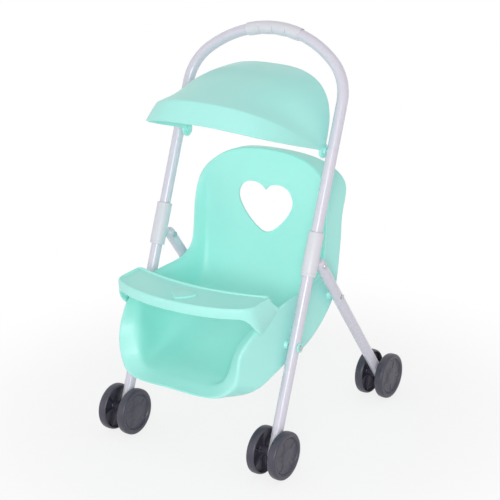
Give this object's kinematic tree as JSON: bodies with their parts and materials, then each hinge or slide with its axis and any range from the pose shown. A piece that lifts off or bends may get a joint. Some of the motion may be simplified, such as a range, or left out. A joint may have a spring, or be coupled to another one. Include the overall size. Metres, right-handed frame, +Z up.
{
  "type": "doll stroller",
  "caption": "Toy stroller for a doll: white tube frame with arched handle, mint bucket seat with heart cut-out, lift-off tray, tilting canopy and twin wheels at each leg.",
  "frame": {"origin": "on the floor, below the middle of the whole stroller", "axes": "+Z up; the doll faces -Y, so whoever pushes it stands at +Y; +X is the pusher's left"},
  "size_m": [0.2694, 0.3365, 0.5058],
  "materials": {
    "mint_plastic": "satin moulded polypropylene",
    "white_tube": "white powder coat",
    "white_plastic": "fine moulded",
    "wheel_plastic": "satin moulded",
    "steel": "zinc plated"
  },
  "bodies": {
    "frame": {"handle_tube": "white_tube", "handle_grip": "white_plastic", "left_sleeve": "white_plastic", "right_sleeve": "white_plastic", "left_front_leg": "white_tube", "right_front_leg": "white_tube", "left_rear_leg": "white_tube", "right_rear_leg": "white_tube", "left_leg_pin": "steel", "right_leg_pin": "steel", "left_front_foot": "white_plastic", "right_front_foot": "white_plastic", "left_rear_foot": "white_plastic", "right_rear_foot": "white_plastic", "seat_shell": "mint_plastic", "front_seat_screws": "steel", "front_screw_caps": "mint_plastic", "rear_seat_screws": "steel", "left_canopy_pin": "mint_plastic", "right_canopy_pin": "mint_plastic"},
    "left_front_wheels": {"left_front_axle": "steel", "left_front_outer_wheel": "wheel_plastic", "left_front_inner_wheel": "wheel_plastic"},
    "right_front_wheels": {"right_front_axle": "steel", "right_front_outer_wheel": "wheel_plastic", "right_front_inner_wheel": "wheel_plastic"},
    "left_rear_wheels": {"left_rear_axle": "steel", "left_rear_outer_wheel": "wheel_plastic", "left_rear_inner_wheel": "wheel_plastic"},
    "right_rear_wheels": {"right_rear_axle": "steel", "right_rear_outer_wheel": "wheel_plastic", "right_rear_inner_wheel": "wheel_plastic"},
    "canopy": {"canopy": "mint_plastic"},
    "tray": {"tray": "mint_plastic"}
  },
  "joints": [
    {"name": "left_front_wheel_spin", "type": "hinge", "parent": "frame", "child": "left_front_wheels", "pos_m": [0.114, -0.1185, 0.03], "axis": [1, 0, 0], "continuous": true},
    {"name": "right_front_wheel_spin", "type": "hinge", "parent": "frame", "child": "right_front_wheels", "pos_m": [-0.114, -0.1185, 0.03], "axis": [1, 0, 0], "continuous": true},
    {"name": "left_rear_wheel_spin", "type": "hinge", "parent": "frame", "child": "left_rear_wheels", "pos_m": [0.114, 0.1385, 0.03], "axis": [1, 0, 0], "continuous": true},
    {"name": "right_rear_wheel_spin", "type": "hinge", "parent": "frame", "child": "right_rear_wheels", "pos_m": [-0.114, 0.1385, 0.03], "axis": [1, 0, 0], "continuous": true},
    {"name": "canopy_tilt", "type": "hinge", "parent": "frame", "child": "canopy", "pos_m": [0, 0.02513, 0.36838], "axis": [1, 0, 0], "range_deg": [-70, 15]},
    {"name": "tray_lift", "type": "slide", "parent": "frame", "child": "tray", "axis": [0, 0, 1], "range_m": [0, 0.06]}
  ]
}
